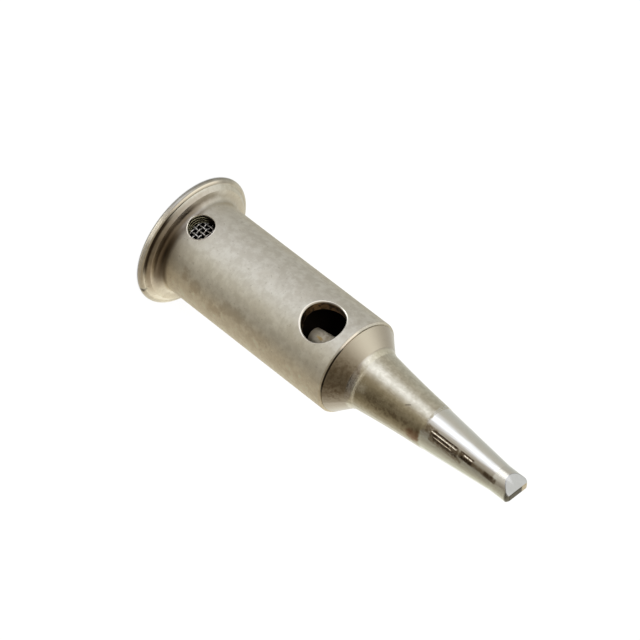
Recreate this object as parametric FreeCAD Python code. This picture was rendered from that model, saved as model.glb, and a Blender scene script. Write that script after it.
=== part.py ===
import FreeCAD, Part
import math
import os

# A gas-heated soldering tip, standing on its flange with the chisel end up.
# The origin is the centre of the flange's back face, and +Z is the turning axis.
# Both side ports look along -Y. Lengths are in millimetres and angles in degrees.

# Body tube, turned in one piece with its flange
TUBE_DIAMETER = 9.0
TUBE_WALL = 1.1
TUBE_LENGTH = 20.5
TUBE_FRONT_CHAMFER = 0.14

# Flange: a thin rounded lip round a raised, chamfered boss
FLANGE_DIAMETER = 12.6
FLANGE_BACK_CHAMFER = 0.18
LIP_THICKNESS = 0.57
LIP_RADIUS = 0.34
BOSS_DIAMETER = 11.8
BOSS_HEIGHT = 0.38
ROOT_RADIUS = 0.55

# Gas inlet through the web that closes the back of the bore
INLET_DIAMETER = 5.8
INLET_WEB = 1.0
INLET_CHAMFER = 0.2

# Cross holes: the ignition hole's height is from the flange's back face, and the exhaust
# port is set back from the seam
IGNITION_HOLE_DIAMETER = 2.4
IGNITION_HOLE_HEIGHT = 2.6
IGNITION_HOLE_CHAMFER = 0.06
EXHAUST_PORT_DIAMETER = 3.85
EXHAUST_PORT_SETBACK = 3.1
EXHAUST_PORT_CHAMFER = 0.17

# Bit: tapered heat-collecting tail, spigot in the tube, conical shoulder, flared root,
# waisted shank, tinned point
TAIL_ROOT_DIAMETER = 2.5
TAIL_END_DIAMETER = 1.44
TAIL_LENGTH = 5.3
TAIL_END_CHAMFER = 0.1
SPIGOT_LENGTH = 0.8
SPIGOT_CLEARANCE = 0.01
SHOULDER_INSET = 0.21
SHOULDER_EDGE_CHAMFER = 0.08
SHOULDER_LENGTH = 1.5
SHANK_ROOT_DIAMETER = 6.1
SHANK_ROOT_LENGTH = 0.6
SHANK_BASE_DIAMETER = 5.58
SHANK_END_DIAMETER = 4.08
SHANK_LENGTH = 7.1
SHANK_WAIST_DEPTH = 0.11
SHANK_WAIST_RADIUS = 110.0
PLATING_STEP = 0.03
TINNED_LENGTH = 9.45
POINT_DIAMETER = 2.58
POINT_LENGTH = 2.05

# Chisel end: two flats that leave a blunt edge
FLAT_LENGTH = 1.0
FLAT_AZIMUTH = -104.0
EDGE_THICKNESS = 0.6
EDGE_CORNER_RADIUS = 0.36
EDGE_ROUNDING = 0.08

# Catalyst gauze: a woven wire thimble that rests on the inlet web, closed at its front
WIRE_DIAMETER = 0.15
WIRE_PITCH = 0.42
GAUZE_CLEARANCE = 0.03
GAUZE_LENGTH = 7.0
GAUZE_CORNER_CHAMFER = 0.5
MESH_COLUMNS = 6
MESH_ROWS = 6

# Radii and heights that follow from the sizes above
tube_radius = TUBE_DIAMETER / 2
bore_radius = tube_radius - TUBE_WALL
flange_radius = FLANGE_DIAMETER / 2
boss_radius = BOSS_DIAMETER / 2
boss_face = LIP_THICKNESS + BOSS_HEIGHT
inlet_radius = INLET_DIAMETER / 2
seam = TUBE_LENGTH
exhaust_height = seam - EXHAUST_PORT_SETBACK
shank_root = seam + SHOULDER_LENGTH
shank_base = shank_root + SHANK_ROOT_LENGTH
plating_end = shank_base + SHANK_LENGTH
tip_end = plating_end + TINNED_LENGTH


def rounded_corner(before, corner, after, radius):
    """Ends and middle of the arc that rounds a corner: it touches both sides at
    radius * tan(turn / 2) from the corner, and bulges towards the corner."""
    back = (before - corner).normalize()
    ahead = (after - corner).normalize()
    half_angle = back.getAngle(ahead) / 2
    reach = radius / math.tan(half_angle)
    bisector = (back + ahead).normalize()
    middle = corner + bisector * (radius / math.sin(half_angle) - radius)
    return corner + back * reach, middle, corner + ahead * reach


def turned(corners):
    """Solid of revolution about Z, from the closed outline through corners of
    (radius from the axis, height, corner rounding)."""
    points = [FreeCAD.Vector(r, 0, z) for r, z, rounding in corners]
    edges = []
    starts = []
    ends = []
    for i, (r, z, rounding) in enumerate(corners):
        start, end = points[i], points[i]
        if rounding > 0:
            neighbour = points[(i + 1) % len(points)]
            start, middle, end = rounded_corner(points[i - 1], points[i], neighbour, rounding)
            edges.append(Part.Arc(start, middle, end).toShape())
        starts.append(start)
        ends.append(end)
    for i in range(len(corners)):
        edges.append(Part.makeLine(ends[i - 1], starts[i]))
    outline = Part.Wire(Part.__sortEdges__(edges))
    return Part.Face(outline).revolve(FreeCAD.Vector(), FreeCAD.Vector(0, 0, 1), 360)


def cross_drill(radius, height):
    """Drill that enters from -Y at a height and stops on the axis."""
    mouth = FreeCAD.Vector(0, -flange_radius, height)
    return Part.makeCylinder(radius, flange_radius, mouth, FreeCAD.Vector(0, 1, 0))


def deburred(solid, drill_radius, height, chamfer):
    """Chamfers the edge where a cross hole breaks through the outside of the tube."""
    rim = []
    for edge in solid.Edges:
        points = edge.discretize(8)
        on_tube = all(abs(math.hypot(p.x, p.y) - tube_radius) < 1e-4 for p in points)
        on_drill = all(abs(math.hypot(p.x, p.z - height) - drill_radius) < 1e-4 for p in points)
        if on_tube and on_drill:
            rim.append(edge)
    return solid.makeChamfer(chamfer, rim)


def body_tube():
    """Flanged tube: one outline turned about Z, then two holes drilled across it."""
    corners = [
        (inlet_radius + INLET_CHAMFER, 0, 0),
        (flange_radius - FLANGE_BACK_CHAMFER, 0, 0),
        (flange_radius, FLANGE_BACK_CHAMFER, 0),
        (flange_radius, LIP_THICKNESS, LIP_RADIUS),
        (boss_radius, LIP_THICKNESS, 0),
        (boss_radius - BOSS_HEIGHT, boss_face, 0),
        (tube_radius, boss_face, ROOT_RADIUS),
        (tube_radius, seam - TUBE_FRONT_CHAMFER, 0),
        (tube_radius - TUBE_FRONT_CHAMFER, seam, 0),
        (bore_radius, seam, 0),
        (bore_radius, INLET_WEB, 0),
        (inlet_radius, INLET_WEB, 0),
        (inlet_radius, INLET_CHAMFER, 0),
    ]
    tube = turned(corners)
    ignition_radius = IGNITION_HOLE_DIAMETER / 2
    exhaust_radius = EXHAUST_PORT_DIAMETER / 2
    tube = tube.cut(cross_drill(ignition_radius, IGNITION_HOLE_HEIGHT))
    tube = tube.cut(cross_drill(exhaust_radius, exhaust_height))
    tube = deburred(tube, ignition_radius, IGNITION_HOLE_HEIGHT, IGNITION_HOLE_CHAMFER)
    return deburred(tube, exhaust_radius, exhaust_height, EXHAUST_PORT_CHAMFER)


def flat_cutter(azimuth):
    """Block that takes one flat off the point: its inner face leans in from the
    point's surface, FLAT_LENGTH back from the end, to half the edge's thickness."""
    depth = (POINT_DIAMETER - EDGE_THICKNESS) / 2
    lean = math.degrees(math.atan2(depth, FLAT_LENGTH))
    side = 2 * POINT_DIAMETER
    block = Part.makeBox(side, 2 * side, 2 * side, FreeCAD.Vector(0, -side, -side))
    block.rotate(FreeCAD.Vector(), FreeCAD.Vector(0, 1, 0), -lean)
    block.translate(FreeCAD.Vector(EDGE_THICKNESS / 2, 0, tip_end))
    block.rotate(FreeCAD.Vector(), FreeCAD.Vector(0, 0, 1), azimuth)
    return block


def soldering_bit():
    """Bit: one outline turned about Z, then the two flats of the chisel."""
    tail_radius = TAIL_END_DIAMETER / 2
    tail_end = seam - TAIL_LENGTH
    spigot_radius = bore_radius - SPIGOT_CLEARANCE
    spigot_back = seam - SPIGOT_LENGTH
    shoulder_radius = tube_radius - SHOULDER_INSET
    shank_base_radius = SHANK_BASE_DIAMETER / 2
    shank_end_radius = SHANK_END_DIAMETER / 2
    waist_radius = (shank_base_radius + shank_end_radius) / 2 - SHANK_WAIST_DEPTH
    corners = [
        (0, tail_end, 0),
        (tail_radius - TAIL_END_CHAMFER, tail_end, 0),
        (tail_radius, tail_end + TAIL_END_CHAMFER, 0),
        (TAIL_ROOT_DIAMETER / 2, spigot_back, 0),
        (spigot_radius, spigot_back, 0),
        (spigot_radius, seam, 0),
        (shoulder_radius - SHOULDER_EDGE_CHAMFER, seam, 0),
        (shoulder_radius, seam + SHOULDER_EDGE_CHAMFER, 0),
        (SHANK_ROOT_DIAMETER / 2, shank_root, 0),
        (shank_base_radius, shank_base, 0),
        (waist_radius, shank_base + SHANK_LENGTH / 2, SHANK_WAIST_RADIUS),
        (shank_end_radius, plating_end, 0),
        (shank_end_radius - PLATING_STEP, plating_end, 0),
        (POINT_DIAMETER / 2, tip_end - POINT_LENGTH, 0),
        (POINT_DIAMETER / 2, tip_end, EDGE_CORNER_RADIUS),
        (0, tip_end, 0),
    ]
    bit = turned(corners)
    bit = bit.cut(flat_cutter(FLAT_AZIMUTH))
    bit = bit.cut(flat_cutter(FLAT_AZIMUTH + 180))
    long_edges = []
    for edge in bit.Edges:
        level = all(abs(v.Z - tip_end) < 1e-4 for v in edge.Vertexes)
        if level and edge.Curve.TypeId == "Part::GeomLine":
            long_edges.append(edge)
    return bit.makeFillet(EDGE_ROUNDING, long_edges)


def catalyst_gauze():
    """Thimble of woven wire: the hoop wires are ridges round one thin wall, and behind
    the ignition hole the meshes between hoop and upright wires are cut right through."""
    wire_radius = WIRE_DIAMETER / 2
    crest = bore_radius - GAUZE_CLEARANCE
    valley = crest - wire_radius
    inner = valley - WIRE_DIAMETER
    back = INLET_WEB
    front = back + GAUZE_LENGTH
    corners = [(inner, back, 0), (valley, back, 0)]
    for i in range(MESH_ROWS + 1):
        corners.append((crest, back + (i + 0.5) * WIRE_PITCH, 0))
        corners.append((valley, back + (i + 1) * WIRE_PITCH, 0))
    corners.append((valley, front - GAUZE_CORNER_CHAMFER, 0))
    corners.append((valley - GAUZE_CORNER_CHAMFER, front, 0))
    corners.append((0, front, 0))
    corners.append((0, front - WIRE_DIAMETER, 0))
    corners.append((inner - GAUZE_CORNER_CHAMFER, front - WIRE_DIAMETER, 0))
    corners.append((inner, front - WIRE_DIAMETER - GAUZE_CORNER_CHAMFER, 0))
    wall = turned(corners)
    opening = WIRE_PITCH - WIRE_DIAMETER
    first_row = back + (WIRE_PITCH + WIRE_DIAMETER) / 2
    column_angle = math.degrees(WIRE_PITCH / crest)
    meshes = []
    for row in range(MESH_ROWS):
        z = first_row + row * WIRE_PITCH
        for column in range(MESH_COLUMNS):
            corner = FreeCAD.Vector(inner - WIRE_DIAMETER, -opening / 2, z)
            mesh = Part.makeBox(3 * WIRE_DIAMETER, opening, opening, corner)
            azimuth = -90 + (column - (MESH_COLUMNS - 1) / 2) * column_angle
            mesh.rotate(FreeCAD.Vector(), FreeCAD.Vector(0, 0, 1), azimuth)
            meshes.append(mesh)
    return wall.cut(Part.makeCompound(meshes))


os.makedirs("parts", exist_ok=True)
body_tube().exportStep("parts/body_tube.step")
soldering_bit().exportStep("parts/soldering_bit.step")
catalyst_gauze().exportStep("parts/catalyst_gauze.step")
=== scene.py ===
import math

import bpy
import numpy as np
from mathutils import Matrix, Vector


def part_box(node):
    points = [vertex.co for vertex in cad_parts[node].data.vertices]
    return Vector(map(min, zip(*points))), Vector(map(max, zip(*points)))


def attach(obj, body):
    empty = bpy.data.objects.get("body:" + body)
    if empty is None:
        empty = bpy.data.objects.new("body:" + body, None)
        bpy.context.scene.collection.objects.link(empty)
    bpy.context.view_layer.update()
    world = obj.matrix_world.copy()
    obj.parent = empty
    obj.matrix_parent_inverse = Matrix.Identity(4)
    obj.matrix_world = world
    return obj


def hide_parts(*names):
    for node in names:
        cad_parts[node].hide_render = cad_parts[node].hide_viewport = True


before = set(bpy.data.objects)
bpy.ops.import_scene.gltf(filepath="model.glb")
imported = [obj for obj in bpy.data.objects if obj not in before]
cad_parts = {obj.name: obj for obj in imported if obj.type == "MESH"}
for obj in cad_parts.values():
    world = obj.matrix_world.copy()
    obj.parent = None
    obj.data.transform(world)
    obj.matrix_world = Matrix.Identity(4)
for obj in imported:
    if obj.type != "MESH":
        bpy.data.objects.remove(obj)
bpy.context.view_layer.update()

# A gas soldering tip on its flange: plated tube and bit, tinned chisel point, woven gauze inside.
# Lengths are in metres where nothing else is said; materials work in millimetres.
MM = 0.001

# Heights and radii that the finishes follow, in millimetres
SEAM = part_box("body_tube")[1].z / MM
TIP_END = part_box("soldering_bit")[1].z / MM
BORE_RADIUS = 3.4
FLANGE_RADIUS = 6.3
LIP_TOP, CREASE_RADIUS = 0.5, 5.93
BOSS_TOP, BOSS_EDGE_RADIUS = 0.95, 5.52
ROOT_TOP = 1.5
EXHAUST_HEIGHT, EXHAUST_RADIUS = 17.4, 1.925
IGNITION_HEIGHT, IGNITION_RADIUS = 2.6, 1.2
SHANK_ROOT = 22.0
PLATING_END = 29.7

# Chisel flats: azimuth, lean from the axis in degrees, and half the edge's thickness
FLAT_AZIMUTH = -104.0
FLAT_LEAN = 44.7
EDGE_HALF = 0.3

# Sideways direction in which places on the painted reflection streak are given
STREAK_ACROSS = (-0.951, -0.309)

# Camera: where it stands, how it is rolled, and where the aim point falls in the frame
FRAME_PIXELS = 640
AIM_POINT = Vector((0, 0, 0.020))
AIM_PIXEL = (353.2, 364.8)
FOCAL_PIXELS = 3998
CAMERA_DISTANCE = 0.3354
CAMERA_AZIMUTH = 18.0
CAMERA_ELEVATION = 27.36
CAMERA_ROLL = 37.70
SENSOR_WIDTH = 36.0

# Stage: how far the lamps stand from the tip, and how much of the floor's look is plain white,
# the rest being the tip's shadow on lit paper
LAMP_DISTANCE = 0.8
WHITE_SHARE = 0.85

# Woven wire of the gauze thimble
GAUZE_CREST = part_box("catalyst_gauze")[1].x / MM
WIRE_RADIUS = 0.07 * MM
WIRE_PITCH = 0.47 * MM
WIRE_SIDES = 6
STEPS_PER_MESH = 6


class Value:
    """An output socket that takes part in arithmetic: each operator adds one Math node."""

    def __init__(self, net, socket):
        self.net = net
        self.socket = socket

    def __add__(self, other):
        return self.net.math("ADD", self, other)

    def __sub__(self, other):
        return self.net.math("SUBTRACT", self, other)

    def __rsub__(self, other):
        return self.net.math("SUBTRACT", other, self)

    def __mul__(self, other):
        return self.net.math("MULTIPLY", self, other)

    __radd__ = __add__
    __rmul__ = __mul__


class Net:
    """The node tree of one material or world."""

    def __init__(self, tree):
        self.tree = tree
        tree.nodes.clear()

    def node(self, kind, settings=None, sockets=None):
        """Adds a node: its settings first, then the values or links of its sockets."""
        node = self.tree.nodes.new(kind)
        for name, value in (settings or {}).items():
            setattr(node, name, value)
        for name, value in (sockets or {}).items():
            socket = node.inputs[name]
            if isinstance(value, Value):
                self.tree.links.new(value.socket, socket)
            elif hasattr(socket.default_value, "__len__") and len(socket.default_value) == 4:
                socket.default_value = (*value, 1.0)
            else:
                socket.default_value = value
        return node

    def out(self, node, output=0):
        return Value(self, node.outputs[output])

    def math(self, operation, *values):
        sockets = dict(enumerate(values))
        return self.out(self.node("ShaderNodeMath", {"operation": operation}, sockets))

    def vector_math(self, operation, *values):
        sockets = dict(enumerate(values))
        node = self.node("ShaderNodeVectorMath", {"operation": operation}, sockets)
        return self.out(node, "Value" if operation == "DOT_PRODUCT" else "Vector")

    def smooth(self, value, low, high):
        """0 below low and 1 above high, with a smooth step between; low may be the larger."""
        settings = {"interpolation_type": "SMOOTHSTEP"}
        if low < high:
            sockets = {"Value": value, "From Min": low, "From Max": high}
            return self.out(self.node("ShaderNodeMapRange", settings, sockets))
        return 1.0 - self.smooth(value, high, low)

    def band(self, value, centre, half_width, soft):
        """1 within half_width of centre, falling to 0 over soft."""
        distance = self.math("ABSOLUTE", value - centre)
        return self.smooth(distance, half_width + soft, half_width)

    def mix(self, factor, first, second):
        """The first colour where factor is 0 and the second where it is 1."""
        sockets = {0: factor, 6: first, 7: second}
        return self.out(self.node("ShaderNodeMix", {"data_type": "RGBA"}, sockets), 2)

    def noise(self, vector, scale, detail=2.0, roughness=0.5, distortion=0.0):
        sockets = {
            "Vector": vector,
            "Scale": scale,
            "Detail": detail,
            "Roughness": roughness,
            "Distortion": distortion,
        }
        return self.out(self.node("ShaderNodeTexNoise", None, sockets))

    def bump(self, height, depth, strength=1.0, normal=None):
        """Relief of depth millimetres where height goes from 0 to 1."""
        sockets = {"Height": height, "Distance": depth * MM, "Strength": strength}
        if normal is not None:
            sockets["Normal"] = normal
        return self.out(self.node("ShaderNodeBump", None, sockets))

    def backdrop(self):
        """1 for rays that should see plain white: the camera's, and those through glass."""
        path = self.node("ShaderNodeLightPath")
        through = self.out(path, "Is Transmission Ray")
        return self.math("MAXIMUM", self.out(path, "Is Camera Ray"), through)

    def surface(self, sockets):
        """Ends the tree in one Principled BSDF, whose parts that aren't metal are matt."""
        sockets = {"Specular IOR Level": 0.0, **sockets}
        shader = self.node("ShaderNodeBsdfPrincipled", None, sockets)
        self.node("ShaderNodeOutputMaterial", None, {"Surface": self.out(shader)})


class MetalNet(Net):
    """A material's tree with the place of the shaded point in millimetres: x, y, z, its
    distance from the turning axis, and its angle about that axis in degrees."""

    def __init__(self, name):
        self.material = bpy.data.materials.new(name)
        self.material.use_nodes = True
        super().__init__(self.material.node_tree)
        place = self.out(self.node("ShaderNodeTexCoord"), "Object")
        self.place = self.vector_math("MULTIPLY", place, (1 / MM, 1 / MM, 1 / MM))
        split = self.node("ShaderNodeSeparateXYZ", None, {0: self.place})
        self.x, self.y, self.z = (self.out(split, axis) for axis in "XYZ")
        self.radius = self.math("SQRT", self.x * self.x + self.y * self.y)
        self.angle = self.math("ARCTAN2", self.y, self.x) * math.degrees(1)

    def off(self, azimuth):
        """Degrees from an azimuth, with its sign."""
        return self.math("WRAP", self.angle - azimuth, 180.0, -180.0)

    def around(self, centre, half_width, soft):
        """1 within half_width degrees of an azimuth, falling to 0 over soft degrees."""
        return self.band(self.off(centre), 0.0, half_width, soft)

    def tint(self, colour, mask, factors):
        """Colour multiplied by factors where mask is 1."""
        return self.mix(mask, colour, self.vector_math("MULTIPLY", colour, factors))

    def stretched(self, along, across):
        """Place scaled differently along and across the turning axis."""
        return self.vector_math("MULTIPLY", self.place, (across, across, along))

    def spot(self, height, azimuth, half_height, half_width, ragged):
        """1 at a place on the surface, falling to 0 at half_height millimetres and half_width
        degrees from it, with an edge made ragged by a noise."""
        rise = (self.z - height) * (1 / half_height)
        turn = self.off(azimuth) * (1 / half_width)
        reach = self.math("SQRT", rise * rise + turn * turn) + (ragged - 0.5) * 1.6
        return self.smooth(reach, 1.0, 0.25)


def hole_edges(net, colour):
    """Bare deburred rims of the two side holes, painted near white as a highlight, and their brown
    cut walls, painted over colour; the wall of the ignition hole is sooty with pale drill marks.
    Returns the colour, masks of the painted rim highlights, of that wall and of the rubbed part of
    its rim, and the height that rounds the rims over."""
    hole_side = net.smooth(net.y, 0.0, -1.0)
    rim_highlights, walls, crowns = [], [], []
    for height, radius, width in (
        (EXHAUST_HEIGHT, EXHAUST_RADIUS, 0.17),
        (IGNITION_HEIGHT, IGNITION_RADIUS, 0.11),
    ):
        rise = net.z - height
        from_hole = net.math("SQRT", net.x * net.x + rise * rise)
        across = (from_hole - (radius + width / 2)) * (2 / width)
        crowns.append(net.math("MAXIMUM", 1.0 - across * across, 0.0) * (hole_side * width))
        rim_highlights.append(net.smooth(from_hole, radius + width + 0.02, radius + width - 0.03) * hole_side)
        walls.append(net.smooth(from_hole, radius + 0.012, radius) * hole_side)
    rim = net.math("MAXIMUM", *rim_highlights)
    wall = net.math("MAXIMUM", *walls)
    singed = net.noise(net.place, 2.4, 3.0, 0.6)
    burnt = net.mix(net.smooth(singed, 0.42, 0.62), (0.30, 0.19, 0.10), (0.06, 0.04, 0.025))
    burnt = net.mix(walls[1], burnt, (0.010, 0.007, 0.005))
    uneven = net.noise(net.place, 1.6, 2.0) * 0.25
    marks = net.smooth(net.math("PINGPONG", net.radius + uneven, 0.17), 0.12, 0.16)
    marks = marks * net.smooth(net.z, IGNITION_HEIGHT - 0.3, IGNITION_HEIGHT - 0.8) * walls[1]
    burnt = net.mix(marks, burnt, (0.42, 0.39, 0.25))
    # Painted highlight: the bare deburred rims painted near white all round the holes.
    colour = net.mix(rim, colour, (1.0, 0.96, 0.88))
    colour = net.mix(wall, colour, burnt)
    rubbed = net.smooth(net.x * 0.8 - (net.z - IGNITION_HEIGHT) * 0.54, 0.85, 1.15) * rim_highlights[1]
    return colour, rim, walls[1], rubbed, net.math("MAXIMUM", *crowns)


def plated_tube():
    """Satin plate over a turned surface: mottled, pitted and stained brown by heat; painted lighter
    towards one side, with painted shade in the creases round the flange and at the seam, painted
    highlights on the flange's edges, at the seam's front edge and on the bare deburred hole rims,
    and near black and matt inside the bore."""
    net = MetalNet("plated_tube_finish")
    grain = net.noise(net.place, 12.0, 3.0, 0.6)
    mottle = net.noise(net.place, 1.7, 5.0, 0.62)
    cloud = net.noise(net.place, 0.42, 3.0, 0.55)
    turned = net.noise(net.stretched(7.0, 0.25), 1.0, 3.0, 0.6)
    pits = net.smooth(net.noise(net.place, 4.6, 1.0, 0.4), 0.69, 0.76)
    colour = net.mix(net.smooth(mottle, 0.34, 0.68), (0.63, 0.585, 0.485), (0.745, 0.705, 0.605))
    colour = net.mix(net.smooth(cloud, 0.50, 0.70) * 0.4, colour, (0.60, 0.545, 0.43))
    colour = net.mix(net.smooth(turned, 0.55, 0.75) * 0.2, colour, (0.52, 0.47, 0.37))
    colour = net.mix(pits * 0.35, colour, (0.36, 0.31, 0.23))
    for height, azimuth, half_height, half_width, strength in (
        (3.9, -35.0, 0.7, 11.0, 0.55),
        (5.2, -28.0, 1.0, 12.0, 0.4),
        (7.6, -21.0, 1.6, 12.0, 0.35),
        (9.6, -35.0, 2.0, 12.0, 0.3),
        (13.0, -30.0, 2.2, 11.0, 0.25),
    ):
        stain = net.spot(height, azimuth, half_height, half_width, mottle)
        colour = net.mix(stain * strength, colour, (0.43, 0.35, 0.24))

    # Painted light: the base colour is about 40 % lighter towards azimuth 8, and slightly lighter
    # and bluer towards azimuth -104.
    colour = net.tint(colour, net.around(-104.0, 24.0, 26.0), (1.04, 1.07, 1.15))
    colour = net.tint(colour, net.around(8.0, 28.0, 26.0), (1.42, 1.40, 1.36))

    on_flange = net.smooth(net.z, ROOT_TOP + 0.25, ROOT_TOP - 0.1)
    outside = net.smooth(net.radius, BORE_RADIUS, BORE_RADIUS + 0.4)
    lower_side = net.around(-38.0, 22.0, 30.0)
    left_side = net.around(-92.0, 5.0, 18.0)
    rim = net.smooth(net.radius, 5.9, 6.05)
    skirt = rim * net.smooth(net.z, LIP_TOP, LIP_TOP - 0.08)
    # Painted highlight: cream on the flange's skirt towards azimuths -66 and -40.
    skirt_highlight = skirt * (net.around(-66.0, 10.0, 12.0) * 0.5 + net.around(-40.0, 26.0, 14.0) * 0.4)
    colour = net.mix(skirt_highlight, colour, (0.90, 0.84, 0.72))
    # Painted shade: the flange rim darker towards azimuths -112 and 4, in place of its highlight
    # there.
    colour = net.tint(colour, rim * net.around(-112.0, 34.0, 14.0), (0.63, 0.62, 0.61))
    colour = net.tint(colour, rim * net.around(4.0, 22.0, 22.0), (0.70, 0.69, 0.68))
    # Painted highlight: a cream line along the lip's top towards azimuth -106.
    lip_highlight = rim * net.band(net.z, LIP_TOP + 0.01, 0.04, 0.05)
    colour = net.mix(lip_highlight * net.around(-106.0, 20.0, 14.0), colour, (0.84, 0.77, 0.66))
    boss = net.band(net.radius, 5.2, 0.5, 0.2) * net.smooth(net.z, LIP_TOP, LIP_TOP + 0.1)
    boss = boss * on_flange
    colour = net.tint(colour, boss * net.around(-60.0, 50.0, 30.0), (0.74, 0.70, 0.68))
    # Painted shade: dark brown in the crease at the tube's root, darkest towards azimuths -38 and
    # -92.
    root = net.band(net.z, BOSS_TOP + 0.25, 0.2, 0.6) * net.smooth(net.radius, 5.5, 4.9)
    root_shade = root * (lower_side * 0.6 + left_side * 0.45 + 0.2)
    colour = net.mix(root_shade, colour, (0.13, 0.09, 0.055))
    # Painted shade: a dark line in the corner between lip and boss, darkest towards azimuth -48.
    corner_shade = net.band(net.radius, CREASE_RADIUS, 0.1, 0.12)
    corner_shade = corner_shade * net.smooth(net.z, LIP_TOP - 0.14, LIP_TOP - 0.02)
    corner_shade = corner_shade * (net.around(-48.0, 20.0, 18.0) * 0.9 + 0.05)
    colour = net.mix(corner_shade, colour, (0.06, 0.04, 0.025))
    # Painted highlight: a pale line on the boss's edge towards azimuth -27.
    boss_edge_highlight = net.band(net.radius, BOSS_EDGE_RADIUS, 0.03, 0.05)
    boss_edge_highlight = boss_edge_highlight * net.smooth(net.z, BOSS_TOP - 0.1, BOSS_TOP - 0.03)
    colour = net.mix(boss_edge_highlight * net.around(-27.0, 15.0, 12.0) * 0.6, colour, (0.95, 0.86, 0.73))
    nick = net.spot(0.42, 1.0, 0.25, 2.6, mottle) * net.smooth(net.radius, 5.6, 5.9)
    colour = net.mix(nick * 0.85, colour, (0.10, 0.09, 0.07))

    # Painted shade: the seam's groove dark towards azimuth -48.
    groove_shade = net.smooth(net.z, SEAM - 0.06, SEAM - 0.01) * outside
    groove_shade = groove_shade * net.around(-48.0, 16.0, 22.0)
    colour = net.mix(groove_shade, colour, (0.09, 0.065, 0.04))
    # Painted highlight: the tube's front edge at the seam bright towards azimuth -91.
    front_edge_highlight = net.smooth(net.z, SEAM - 0.12, SEAM - 0.09) * outside
    front_edge_highlight = front_edge_highlight * net.around(-91.0, 9.0, 9.0)
    colour = net.mix(front_edge_highlight, colour, (1.0, 0.93, 0.82))

    colour, hole_rim_highlight, sooty_wall, rubbed, crown = hole_edges(net, colour)
    # Near black and matt inside the bore.
    inside = net.smooth(net.radius, BORE_RADIUS + 0.03, BORE_RADIUS + 0.01)
    inside = inside * net.smooth(net.z, 0.25, 0.4)
    colour = net.mix(inside, colour, (0.012, 0.008, 0.005))
    metal = 1.0 - net.math("MAXIMUM", sooty_wall, inside)
    metal = metal - skirt_highlight * 0.45 - front_edge_highlight * 0.1 - rubbed * 0.45
    rough = 0.57 + (mottle - 0.5) * 0.12 - on_flange * outside * 0.25 - hole_rim_highlight * 0.2
    rough = rough + inside * 0.3
    height = grain * 0.16 + mottle * 0.6 + turned * 0.16 - pits * 0.25 - nick * 3.0
    normal = net.bump(height, 0.022, 0.5)
    normal = net.bump(crown, 0.2, 1.0, normal)
    net.surface({"Base Color": colour, "Metallic": metal, "Roughness": rough, "Normal": normal})
    return net.material


def chisel_masks(net):
    """Masks of the two flats and of the edge between them, and the place along the edge."""
    lean = math.radians(FLAT_LEAN)
    turn = math.radians(FLAT_AZIMUTH)
    reach = EDGE_HALF * math.cos(lean) + TIP_END * math.sin(lean)
    flats = []
    for side in (1, -1):
        normal = (
            side * math.cos(turn) * math.cos(lean),
            side * math.sin(turn) * math.cos(lean),
            math.sin(lean),
        )
        flats.append(net.vector_math("DOT_PRODUCT", net.place, normal))
    flat = net.smooth(net.math("MAXIMUM", *flats), reach - 0.08, reach - 0.012)
    end = net.smooth(net.z, TIP_END - 0.05, TIP_END - 0.015)
    along = net.vector_math("DOT_PRODUCT", net.place, (-math.sin(turn), math.cos(turn), 0.0))
    return flat, end, along


def painted_streak_reflection(net, tin):
    """Painted reflection along one side of the tin: dark dashes with bright lines between them,
    broken up by a noise. Returns the colour and masks of the streak and its bright lines."""
    across = net.vector_math("DOT_PRODUCT", net.place, (*STREAK_ACROSS, 0.0))
    facing = net.around(-60.0, 45.0, 15.0)
    broken = net.smooth(net.noise(net.stretched(5.0, 9.0), 1.0, 2.0, 0.6), 0.36, 0.50)
    uneven = (net.noise(net.place, 2.6, 2.0, 0.5) - 0.5) * 0.22
    whole = net.band(net.z, 33.8, 3.5, 0.4) * net.band(across, -0.5, 0.35, 0.15) * facing
    bright_reflection_lines = 0.0
    for bottom, top, place, half_width, soft, colour in (
        (33.3, 37.5, -0.52, 0.08, 0.20, (0.50, 0.44, 0.34)),
        (29.8, 31.0, -0.34, 0.22, 0.20, (0.46, 0.40, 0.31)),
        (30.5, 34.0, -0.95, 0.06, 0.20, (0.50, 0.44, 0.34)),
        (36.2, 37.5, -0.50, 0.10, 0.18, (0.24, 0.19, 0.135)),
        (30.5, 33.4, -0.50, 0.28, 0.12, (0.34, 0.28, 0.21)),
        (33.6, 35.0, -0.42, 0.20, 0.12, (0.34, 0.28, 0.21)),
        (30.6, 33.2, -0.20, 0.03, 0.07, (0.12, 0.085, 0.055)),
        (30.6, 32.5, -0.53, 0.04, 0.07, (0.10, 0.065, 0.045)),
        (30.9, 33.5, -0.82, 0.04, 0.10, (0.20, 0.155, 0.11)),
        (33.6, 35.0, -0.18, 0.02, 0.07, (0.22, 0.17, 0.12)),
        (33.7, 34.9, -0.57, 0.08, 0.08, (0.10, 0.07, 0.045)),
        (30.5, 33.2, -0.37, 0.02, 0.05, (1.0, 0.93, 0.80)),
        (30.9, 32.8, -0.67, 0.01, 0.04, (0.72, 0.62, 0.48)),
        (34.0, 34.9, -0.32, 0.02, 0.05, (0.98, 0.90, 0.78)),
    ):
        middle, half_length = (bottom + top) / 2, (top - bottom) / 2
        dash = net.band(net.z, middle, half_length - 0.1, 0.2) * facing
        dash = dash * net.band(across + uneven * soft * 2.0, place, half_width, soft)
        dash = dash * (broken * 0.6 + 0.4)
        tin = net.mix(dash, tin, colour)
        if colour[0] > 0.7:
            bright_reflection_lines = dash + bright_reflection_lines
    return tin, whole, bright_reflection_lines


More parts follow.
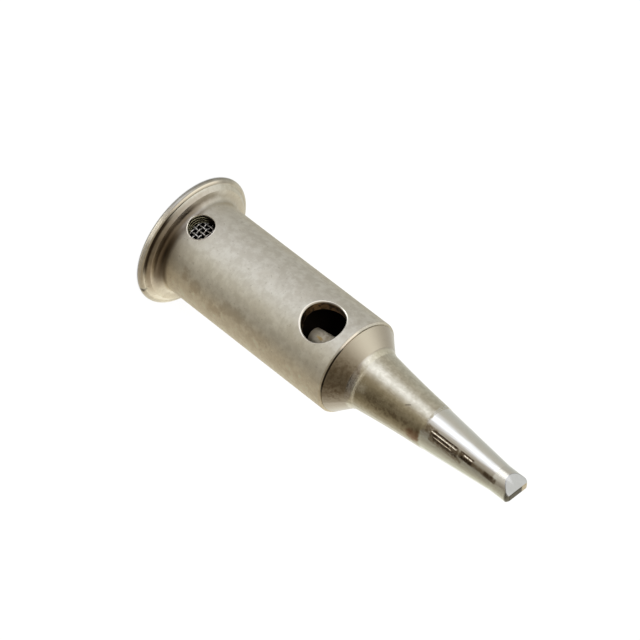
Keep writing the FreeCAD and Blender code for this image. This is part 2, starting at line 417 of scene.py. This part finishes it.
def plated_bit():
    """Satin plate on shoulder and shank, stained brown by heat, with painted shade on its lower
    side and at the seam and a painted highlight at the neck; bright tin drawn over the point, with
    a painted dark reflection streak along it, and a chisel end grey on its flats, with painted
    shade on its end face and corner."""
    net = MetalNet("plated_bit_finish")
    grain = net.noise(net.stretched(3.0, 7.0), 1.0, 3.0, 0.6)
    mottle = net.noise(net.place, 2.0, 5.0, 0.62)
    drawn = net.noise(net.stretched(0.5, 5.0), 1.0, 4.0, 0.6, 0.4)
    plate = net.mix(net.smooth(mottle, 0.36, 0.68), (0.66, 0.625, 0.51), (0.80, 0.765, 0.645))
    plate = net.mix(net.smooth(drawn, 0.50, 0.72) * 0.35, plate, (0.54, 0.47, 0.36))
    lower_side = net.around(-42.0, 22.0, 22.0)
    shoulder = net.smooth(net.z - lower_side * 0.4, SHANK_ROOT + 0.25, SHANK_ROOT - 0.05)
    # Painted shade: the shoulder darker and mottled on its lower side.
    mottled_shade = net.smooth(net.noise(net.place, 2.4, 4.0, 0.7), 0.40, 0.66)
    shoulder_colour = net.mix(mottled_shade * lower_side, (0.53, 0.48, 0.40), (0.36, 0.305, 0.23))
    plate = net.mix(shoulder, plate, shoulder_colour)
    specks = net.smooth(net.noise(net.place, 2.6, 2.0, 0.6), 0.45, 0.65)
    for height, azimuth, half_height, half_width, strength in (
        (21.3, -20.0, 1.0, 24.0, 0.5),
        (24.5, -36.0, 2.4, 22.0, 0.4),
        (27.3, -38.0, 2.6, 24.0, 0.45),
        (29.2, -28.0, 1.0, 22.0, 0.5),
    ):
        stain = net.spot(height, azimuth, half_height, half_width, mottle)
        plate = net.mix(stain * specks * strength, plate, (0.22, 0.15, 0.09))
    # Painted shade: the shank darker and browner on its lower side.
    plate = net.tint(plate, lower_side * (1.0 - shoulder), (0.92, 0.89, 0.80))
    rust = net.spot(29.0, -22.0, 1.2, 22.0, mottle)
    plate = net.mix(rust * 0.65, plate, (0.40, 0.23, 0.155))
    # Painted highlight: a pale band and patch where the shoulder meets the shank, towards azimuths
    # -42 and -48.
    neck_highlight = net.band(net.z, SHANK_ROOT + 0.7, 0.05, 0.16) * net.around(-42.0, 24.0, 18.0) * 0.6
    neck_highlight = net.math("MAXIMUM", neck_highlight, net.spot(SHANK_ROOT + 1.1, -48.0, 0.9, 16.0, mottle) * 0.4)
    plate = net.mix(neck_highlight, plate, (0.84, 0.79, 0.64))
    fillet = net.band(net.z, SHANK_ROOT + 0.35, 0.15, 0.3) * net.around(-42.0, 24.0, 18.0)
    # Painted shade: the bit's heel at the seam dark towards azimuth -48.
    seam_heel_shade = net.smooth(net.z, SEAM + 0.09, SEAM + 0.05) * net.smooth(net.z, SEAM - 0.3, SEAM - 0.1)
    plate = net.mix(seam_heel_shade * net.around(-48.0, 16.0, 22.0), plate, (0.08, 0.055, 0.035))
    rise, turn = net.z - 27.46, net.off(-76.0) * 0.039
    scratch = net.band(rise * 0.61 + turn * 0.79, 0.0, 0.03, 0.05)
    scratch = scratch * net.band(rise * 0.79 - turn * 0.61, 0.0, 0.2, 0.1)
    plate = net.mix(scratch * 0.7, plate, (0.20, 0.17, 0.13))

    tin_edge = net.noise(net.place, 1.3, 3.0, 0.6)
    tinned = net.smooth(net.z + (tin_edge - 0.5) * 1.1, PLATING_END - 0.09, PLATING_END + 0.06)
    tin = net.mix(net.smooth(mottle, 0.45, 0.7) * 0.35, (0.93, 0.93, 0.89), (0.84, 0.85, 0.78))
    lower_tin = net.around(-18.0, 17.0, 18.0)
    # Painted shade: the tin slightly darker and yellower on its lower side.
    tin = net.tint(tin, lower_tin, (0.95, 0.97, 0.90))
    # Painted reflection: a dark streak with bright lines along one side of the tin.
    tin, streak, bright_reflection_lines = painted_streak_reflection(net, tin)
    flat, end, along = chisel_masks(net)
    tin = net.mix(flat, tin, (0.52, 0.53, 0.55))
    # Painted shade: the chisel's end face dark, beige towards one end.
    shaded_end_face = net.mix(net.smooth(along, -0.55, -0.35), (0.66, 0.58, 0.44), (0.12, 0.11, 0.085))
    tin = net.mix(end, tin, shaded_end_face)
    # Painted shade: a dark outline at the corner of the chisel's edge.
    corner_shade = net.smooth(along, 0.7, 0.95) * net.smooth(net.z, TIP_END - 0.5, TIP_END - 0.3)
    tin = net.mix(corner_shade * (1.0 - flat) * 0.8, tin, (0.12, 0.11, 0.085))
    colour = net.mix(tinned, plate, tin)
    # Painted shade: the ledge where the plating ends darker towards azimuth -112, in place of its
    # highlight.
    ledge = net.band(net.z, PLATING_END, 0.08, 0.06) * net.around(-112.0, 32.0, 12.0)
    colour = net.tint(colour, ledge, (0.78, 0.76, 0.72))

    gleam = net.spot(37.6, -91.0, 1.4, 17.0, 0.5)
    tail = net.smooth(net.z, SEAM - 0.05, SEAM - 0.1)
    scale = net.mix(net.smooth(mottle, 0.38, 0.58), (0.66, 0.58, 0.43), (0.95, 0.88, 0.72))
    scale = net.mix(net.smooth(net.z, 16.6, 15.3) * 0.85, scale, (0.22, 0.18, 0.13))
    scale = net.mix(net.spot(16.4, -76.0, 0.6, 13.0, mottle), scale, (0.80, 0.60, 0.28))
    colour = net.mix(tail, colour, scale)
    flow = net.noise(net.stretched(0.16, 2.2), 1.0, 2.0, 0.5, 0.3)
    rough = 0.235 - tinned * 0.135 - shoulder * 0.02 + (mottle - 0.5) * 0.12
    rough = rough + (flat + end + tail) * 0.25 + streak * 0.12 + ledge * 0.15
    matt_tin = lower_tin * 0.1 + bright_reflection_lines * 0.6 + gleam * 0.5
    metal = 1.0 - tail * 0.85 - neck_highlight * 0.2 - fillet * 0.16 - matt_tin * tinned
    normal = net.bump((grain - 0.5) * (1.0 - tinned), 0.006, 0.6)
    normal = net.bump((flow - 0.5) * tinned, 0.05, 0.5, normal)
    sockets = {"Base Color": colour, "Metallic": metal, "Roughness": rough, "Normal": normal}
    net.surface(sockets)
    return net.material


def gauze_wire():
    """Drawn wire, straw-coloured by heat and dulled: its own colour on the crests of the weave that
    face the ignition hole, and painted black as shade below them and everywhere else."""
    net = MetalNet("gauze_wire_finish")
    tarnish = net.noise(net.place, 1.2, 3.0)
    colour = net.mix(net.smooth(tarnish, 0.4, 0.7), (0.78, 0.76, 0.73), (0.60, 0.56, 0.50))
    depth = net.smooth(net.radius, GAUZE_CREST - 0.16, GAUZE_CREST - 0.04)
    # Painted shade: the wires black below the crests and away from the ignition hole.
    unshaded_crest = depth * net.smooth(net.y, -1.0, -1.8)
    colour = net.mix(unshaded_crest, (0.006, 0.005, 0.004), colour)
    net.surface({"Base Color": colour, "Metallic": unshaded_crest * 0.78, "Roughness": 0.27})
    return net.material


def tube_along(paths, sides, radius):
    """Round wires along paths of shape (wires, points, 3): at each point a ring of vertices at
    radius from the path, in the plane across its direction. Returns the vertices, the quads
    between the rings, and the numbers of each ring's vertices."""
    wires, count, _ = paths.shape
    ahead = np.gradient(paths, axis=1)
    ahead /= np.linalg.norm(ahead, axis=2, keepdims=True)
    spread = np.abs(ahead).mean(axis=1, keepdims=True)
    reference = np.eye(3)[np.argmin(spread, axis=2)]
    side = np.cross(ahead, reference)
    side /= np.linalg.norm(side, axis=2, keepdims=True)
    other = np.cross(ahead, side)
    turn = np.linspace(0, 2 * np.pi, sides, endpoint=False)
    ring = side[:, :, None] * np.cos(turn)[:, None] + other[:, :, None] * np.sin(turn)[:, None]
    vertices = (paths[:, :, None] + ring * radius).reshape(-1, 3)
    first = np.arange(wires * count * sides).reshape(wires, count, sides)
    after = np.roll(first, -1, axis=2)
    quads = np.stack([first[:, :-1], after[:, :-1], after[:, 1:], first[:, 1:]], axis=-1)
    return vertices, quads.reshape(-1, 4), first


def mesh_object(name, vertices, faces, material):
    """A smooth mesh object at the origin from arrays of vertices and lists of faces."""
    mesh = bpy.data.meshes.new(name)
    mesh.from_pydata(vertices.tolist(), [], faces)
    mesh.polygons.foreach_set("use_smooth", [True] * len(mesh.polygons))
    mesh.materials.append(material)
    mesh.update()
    made = bpy.data.objects.new(name, mesh)
    bpy.context.scene.collection.objects.link(made)
    return made


def capped_wires(paths, radius, closed=False):
    """Vertices and faces of wires along paths, with closed ends, or joined round if closed."""
    vertices, quads, rings = tube_along(paths, WIRE_SIDES, radius)
    faces = quads.tolist()
    if closed:
        last, start = rings[:, -1], rings[:, 0]
        joint = np.stack([last, np.roll(last, -1, 1), np.roll(start, -1, 1), start], axis=-1)
        faces += joint.reshape(-1, 4).tolist()
    else:
        faces += rings[:, 0, ::-1].tolist() + rings[:, -1].tolist()
    return vertices, faces


def woven_thimble():
    """Plain weave on the cylinder of the thimble, open at both ends. Upright wires swing in and
    out by one wire radius as a cosine of height, hoop wires as a cosine of angle, and
    neighbours swing opposite ways, so that each crossing has one over and one under."""
    low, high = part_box("catalyst_gauze")
    outer = high.x
    middle = outer - 2 * WIRE_RADIUS
    swing = WIRE_RADIUS
    uprights = 2 * round(np.pi * middle / WIRE_PITCH)
    hoops = int((high.z - low.z - 3 * WIRE_RADIUS) / WIRE_PITCH)
    steps = hoops * STEPS_PER_MESH + 1
    height = np.linspace(0, hoops, steps)
    index = np.arange(uprights)
    azimuth = 2 * np.pi * index / uprights
    reach = middle + swing * np.cos(np.pi * height)[None] * np.where(index % 2, -1, 1)[:, None]
    z = low.z + WIRE_RADIUS + height * WIRE_PITCH
    upright_paths = np.stack(
        [
            reach * np.cos(azimuth)[:, None],
            reach * np.sin(azimuth)[:, None],
            np.broadcast_to(z, reach.shape),
        ],
        axis=-1,
    )
    ring = np.arange(hoops + 1)
    around = np.linspace(0, 2 * np.pi, uprights * STEPS_PER_MESH, endpoint=False)
    wave = np.cos(around * uprights / 2)
    reach = middle - swing * wave[None] * np.where(ring % 2, -1, 1)[:, None]
    z = low.z + WIRE_RADIUS + ring * WIRE_PITCH
    hoop_paths = np.stack(
        [
            reach * np.cos(around),
            reach * np.sin(around),
            np.broadcast_to(z[:, None], reach.shape),
        ],
        axis=-1,
    )
    first, first_faces = capped_wires(upright_paths, WIRE_RADIUS)
    second, second_faces = capped_wires(hoop_paths, WIRE_RADIUS, closed=True)
    vertices = np.concatenate([first, second])
    faces = first_faces + [[i + len(first) for i in face] for face in second_faces]
    return mesh_object("catalyst_gauze_weave", vertices, faces, gauze_wire())


def studio_world(towards, side):
    """The studio that the metal reflects, white for the camera. Directions are given as an
    azimuth from the camera's side and an elevation. Each light fades from its centre as
    exp(tightness * (cosine of the angle off centre - 1)), and the dark side screens what lies
    behind it in the same way. The values were fitted by a program to the shading of the metal
    in the photograph, and rounded."""
    world = bpy.data.worlds.new("studio")
    world.use_nodes = True
    net = Net(world.node_tree)
    direction = net.out(net.node("ShaderNodeTexCoord"), "Generated")

    def glow(azimuth, elevation, tightness):
        turn, rise = math.radians(azimuth), math.radians(elevation)
        level = towards * math.cos(turn) + side * math.sin(turn)
        centre = level * math.cos(rise) + Vector((0, 0, math.sin(rise)))
        cosine = net.vector_math("DOT_PRODUCT", direction, tuple(centre))
        return net.math("EXPONENT", (cosine - 1.0) * tightness)

    total = (0.30, 0.215, 0.11)
    for azimuth, elevation, tightness, colour in (
        (84, 45, 4.0, (0.88, 0.93, 0.92)),
        (-165, 0, 3.5, (0.69, 0.705, 0.675)),
        (-10, -60, 12.0, (2.5, 2.65, 2.7)),
        (150, -40, 0.85, (0.085, 0.17, 0.25)),
    ):
        total = net.vector_math("MULTIPLY_ADD", glow(azimuth, elevation, tightness), colour, total)
    total = net.vector_math("MULTIPLY", total, 1.0 - glow(-54, 15, 3.35) * 0.955)
    total = net.vector_math("MULTIPLY_ADD", glow(36, 0, 12.7), (1.25, 1.36, 1.62), total)
    colour = net.mix(net.backdrop(), total, (1.0, 1.0, 1.0))
    shade = net.node("ShaderNodeBackground", None, {"Color": colour})
    net.node("ShaderNodeOutputWorld", None, {"Surface": net.out(shade)})
    bpy.context.scene.world = world


def pale_floor():
    """Round paper floor under the flange, lit by the overhead lamp. It is white to the camera but
    for the tip's soft shadow and for the paper under the flange, painted black as shade, and the
    metal shows the studio in its place."""
    bpy.ops.mesh.primitive_circle_add(vertices=64, radius=2.0, fill_type="NGON")
    floor = bpy.context.object
    floor.name = "floor"
    floor.visible_glossy = False
    floor.visible_shadow = False
    material = bpy.data.materials.new("floor_paper")
    material.use_nodes = True
    net = Net(material.node_tree)
    glow = net.node("ShaderNodeEmission", None, {"Color": (1.0, 1.0, 1.0), "Strength": 1.0})
    place = net.out(net.node("ShaderNodeTexCoord"), "Object")
    length = net.node("ShaderNodeVectorMath", {"operation": "LENGTH"}, {0: place})
    distance = net.out(length, "Value")
    covered = net.smooth(distance, FLANGE_RADIUS * MM, (FLANGE_RADIUS - 0.2) * MM)
    # Painted shade: the paper black under the flange.
    paper_colour = net.mix(covered, (0.85, 0.85, 0.85), (0.01, 0.01, 0.01))
    paper = net.node("ShaderNodeBsdfDiffuse", None, {"Color": paper_colour})
    white = net.backdrop() * (1.0 - covered) * WHITE_SHARE
    both = net.node("ShaderNodeMixShader", None, {0: white, 1: net.out(paper), 2: net.out(glow)})
    net.node("ShaderNodeOutputMaterial", None, {"Surface": net.out(both)})
    floor.data.materials.append(material)


def soft_lamp(name, size, energy, azimuth, elevation):
    """Square lamp aimed at the tip, which the metal doesn't mirror."""
    lamp = bpy.data.lights.new(name, "AREA")
    lamp.size = size
    lamp.energy = energy
    turn, rise = math.radians(azimuth), math.radians(elevation)
    level = Vector((math.cos(turn), math.sin(turn), 0)) * math.cos(rise)
    away = level + Vector((0, 0, math.sin(rise)))
    made = bpy.data.objects.new(name, lamp)
    facing = away.to_track_quat("Z", "Y").to_matrix().to_4x4()
    made.matrix_world = Matrix.Translation(AIM_POINT + away * LAMP_DISTANCE) @ facing
    made.visible_glossy = False
    bpy.context.scene.collection.objects.link(made)


def view_axes():
    """The camera's right, up and backward directions, its place, and the level directions
    towards it and to its left. The view direction to the aim point is turned so that the point
    falls on its pixel."""
    azimuth = math.radians(CAMERA_AZIMUTH)
    rise = math.radians(CAMERA_ELEVATION)
    roll = math.radians(CAMERA_ROLL)
    level = Vector((math.sin(azimuth), -math.cos(azimuth), 0))
    left = Vector((-math.cos(azimuth), -math.sin(azimuth), 0))
    to_camera = level * math.cos(rise) + Vector((0, 0, math.sin(rise)))
    up_slope = Vector((0, 0, math.cos(rise))) - level * math.sin(rise)
    right = up_slope * math.cos(roll) + left * math.sin(roll)
    down = up_slope * math.sin(roll) - left * math.cos(roll)
    half = FRAME_PIXELS / 2
    aim = Vector(((AIM_PIXEL[0] - half) / FOCAL_PIXELS, (AIM_PIXEL[1] - half) / FOCAL_PIXELS, 1))
    aim.normalize()
    across = (Vector((1, 0, 0)) - aim * aim.x).normalized()
    below = aim.cross(across)
    to_world = Matrix((right, down, -to_camera)).transposed()
    from_picture = Matrix((across, below, aim))
    turned = to_world @ from_picture
    x_axis, y_axis, z_axis = turned.col
    return x_axis, -y_axis, -z_axis, AIM_POINT + to_camera * CAMERA_DISTANCE, level, left


def add_camera():
    """Adds the camera, and returns the level directions towards it and to its left."""
    right, up, back, place, level, left = view_axes()
    data = bpy.data.cameras.new("camera")
    data.sensor_width = SENSOR_WIDTH
    data.lens = FOCAL_PIXELS / FRAME_PIXELS * SENSOR_WIDTH
    data.clip_start = 0.01
    data.clip_end = 10.0
    camera = bpy.data.objects.new("camera", data)
    turn = Matrix((right, up, back)).transposed().to_4x4()
    camera.matrix_world = Matrix.Translation(place) @ turn
    bpy.context.scene.collection.objects.link(camera)
    bpy.context.scene.camera = camera
    return level, left


def assign(node, material):
    """Gives a CAD node its finished material."""
    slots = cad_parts[node].data.materials
    slots.clear()
    slots.append(material)


studio_world(*add_camera())
pale_floor()
soft_lamp("overhead", 0.6, 6.0, 0.0, 90.0)
soft_lamp("front", 0.25, 3.2, -86.0, 40.0)
assign("body_tube", plated_tube())
assign("soldering_bit", plated_bit())
weave = woven_thimble()
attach(weave, "root")
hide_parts("catalyst_gauze")

bpy.context.scene.view_settings.view_transform = "Standard"
